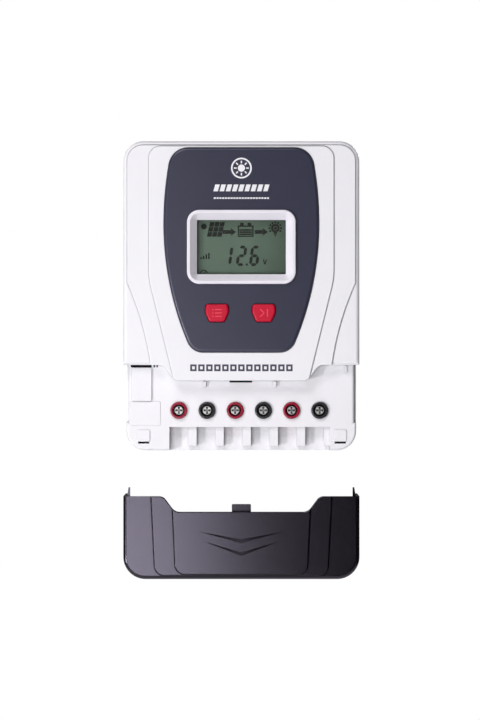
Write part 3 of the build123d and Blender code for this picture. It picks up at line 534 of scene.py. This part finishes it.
# ---------------------------------------------------------------- stage
VIEW_HEIGHT = 0.36       # metres of the front plane that the picture is high
CAMERA_DISTANCE = 1.5    # from the front of the unit
SENSOR = 36.0
AIM = (-0.0007, -0.0321)
AMBIENT_LEFT = 0.11      # strength of the surroundings as light, at the left and at the right
AMBIENT_RIGHT = 0.025
AMBIENT_FRONT = 0.08     # share of it that comes from straight in front of the unit
FLOOR_HALF = 1.9         # half the side of the floor, in metres
FLOOR_DEPTH = 0.95       # depth of the floor below the origin
FLOOR_GLOW = 0.25
LIGHT_TARGET = (0.0, -0.04, -0.05)
LIGHT_COLOUR = (1.0, 0.985, 1.0)
LIGHTS = {               # place, size (m) and power (W)
    "left_gloss": ((-0.148, -0.64, -0.20), (0.26, 0.24), 1.20),
    "panel_gloss": ((-0.175, -0.64, 0.05), (0.25, 0.22), 0.30),
    "left_key": ((-1.25, -1.25, -0.43), (0.16, 0.16), 12.0),
    "top_fill": ((-0.45, -1.10, 1.1), (0.9, 0.6), 12.6),
    "back_left": ((-0.70, 1.30, 0.60), (0.8, 0.8), 8.0),
    "back_right": ((0.95, 1.15, 0.55), (0.8, 0.8), 15.0),
}


def add_camera():
    """Long lens square to the front of the unit."""
    data = bpy.data.cameras.new("camera")
    data.sensor_width = SENSOR
    data.lens = SENSOR * CAMERA_DISTANCE / VIEW_HEIGHT
    data.clip_start = 0.05
    data.clip_end = 50
    camera = bpy.data.objects.new("camera", data)
    camera.location = (AIM[0], -front_of("front_case") - CAMERA_DISTANCE, AIM[1])
    camera.rotation_euler = (radians(90), 0, 0)
    bpy.context.scene.collection.objects.link(camera)
    bpy.context.scene.camera = camera


def add_light(name, place, size, power):
    """Rectangular soft light aimed at the middle of the object."""
    data = bpy.data.lights.new(name, "AREA")
    data.shape = "RECTANGLE"
    data.size, data.size_y = size
    data.energy = power
    data.color = LIGHT_COLOUR
    light = bpy.data.objects.new(name, data)
    light.location = place
    way = Vector(LIGHT_TARGET) - Vector(place)
    light.rotation_euler = way.to_track_quat("-Z", "Y").to_euler()
    light.visible_camera = False
    bpy.context.scene.collection.objects.link(light)


def add_world():
    """White surroundings to the eye; as light, grey at the left, darker at the right and in front."""
    world = bpy.data.worlds.new("studio")
    bpy.context.scene.world = world
    world.use_nodes = True
    tree = world.node_tree
    backdrop = tree.nodes["Background"]
    backdrop.inputs["Color"].default_value = (1, 1, 1, 1)
    backdrop.inputs["Strength"].default_value = 1.0
    place = tree.nodes.new("ShaderNodeTexCoord")
    split = tree.nodes.new("ShaderNodeSeparateXYZ")
    tree.links.new(place.outputs["Generated"], split.inputs["Vector"])
    front = spread(tree, split.outputs["Y"], AMBIENT_FRONT, 1.0, -0.95, -0.55)
    side = spread(tree, split.outputs["X"], AMBIENT_LEFT, AMBIENT_RIGHT, -0.4, 0.5)
    strength = tree.nodes.new("ShaderNodeMath")
    strength.operation = "MULTIPLY"
    tree.links.new(front, strength.inputs[0])
    tree.links.new(side, strength.inputs[1])
    ambient = tree.nodes.new("ShaderNodeBackground")
    ambient.inputs["Color"].default_value = (1.0, 0.90, 0.95, 1)
    tree.links.new(strength.outputs["Value"], ambient.inputs["Strength"])
    path = tree.nodes.new("ShaderNodeLightPath")
    mix = tree.nodes.new("ShaderNodeMixShader")
    tree.links.new(path.outputs["Is Camera Ray"], mix.inputs["Fac"])
    tree.links.new(ambient.outputs["Background"], mix.inputs[1])
    tree.links.new(backdrop.outputs["Background"], mix.inputs[2])
    tree.links.new(mix.outputs["Shader"], tree.nodes["World Output"].inputs["Surface"])


def add_floor():
    """Plain pale floor that glows faintly, well below the unit on its unseen wall."""
    half, low = FLOOR_HALF, -FLOOR_DEPTH
    mesh = bpy.data.meshes.new("floor")
    corners = [(-half, -half, low), (half, -half, low), (half, half, low), (-half, half, low)]
    mesh.from_pydata(corners, [], [(0, 1, 2, 3)])
    floor = bpy.data.objects.new("floor", mesh)
    bpy.context.scene.collection.objects.link(floor)
    pale = plastic("floor", (0.85, 0.85, 0.85), 0.8, grain=400, strength=0.02, variation=0.005)
    shader = pale.node_tree.nodes["Principled BSDF"]
    shader.inputs["Emission Color"].default_value = (1, 1, 1, 1)
    shader.inputs["Emission Strength"].default_value = FLOOR_GLOW
    mesh.materials.append(pale)


def add_stage():
    """Camera, world, floor and soft lights, most of the light coming from the lower left."""
    add_camera()
    add_world()
    add_floor()
    for name, (place, size, power) in LIGHTS.items():
        add_light(name, place, size, power)


# ---------------------------------------------------------------- put it together
def main():
    """Dresses the frame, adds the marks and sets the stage."""
    add_stage()
    materials = make_materials()
    dress_nodes(materials)
    add_marks(materials)
    bpy.context.scene.view_settings.view_transform = "Standard"
    bpy.context.view_layer.update()


main()
